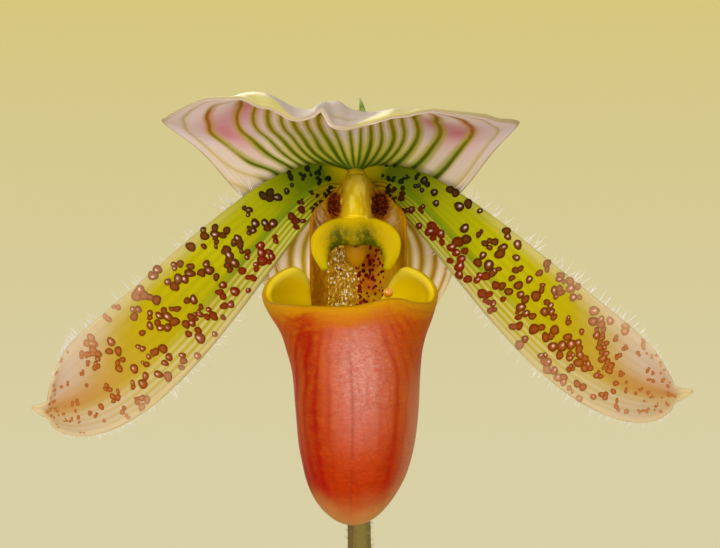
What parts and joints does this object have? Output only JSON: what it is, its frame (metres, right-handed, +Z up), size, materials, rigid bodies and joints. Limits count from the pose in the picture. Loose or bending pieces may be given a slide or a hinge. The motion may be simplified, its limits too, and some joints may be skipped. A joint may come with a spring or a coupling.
{
  "type": "potted lady slipper orchid",
  "caption": "Lady slipper orchid in a clay pot of bark: strap leaves and one upright stem with a hooded, spotted bloom and a deep pouched lip.",
  "frame": {"origin": "centre of the pot's underside, on the surface the pot stands on", "axes": "+Z up along the stem, -Y is the side the bloom faces, +X to the right seen from the front"},
  "size_m": [0.2611, 0.1174, 0.3114],
  "materials": {
    "terracotta": "dry matt fired clay, paler and powdery at the rim",
    "bark": "rough dry bark chips",
    "crown": "pale green rootstock with brown woolly roots",
    "leaf": "satin strap leaf with a darker net over pale green",
    "stem": "downy green-brown stalk",
    "ovary": "ribbed, downy green",
    "hood": "white and pink petal skin with green stripes",
    "petal": "satin green to pale pink with raised maroon spots",
    "slipper": "smooth satin orange-red with darker veins, yellow inside",
    "column": "glossy yellow-green with a dark green net"
  },
  "bodies": {
    "root": {"pot": "terracotta", "potting_bark": "bark", "crown_roots": "crown", "leaf_1": "leaf", "leaf_2": "leaf", "leaf_3": "leaf", "leaf_4": "leaf", "leaf_5": "leaf", "leaf_6": "leaf", "flower_stem": "stem", "ovary": "ovary", "bract": "ovary", "column": "column", "slipper_lip": "slipper", "petal_left": "petal", "petal_right": "petal", "dorsal_sepal": "hood", "synsepal": "hood"}
  },
  "joints": []
}
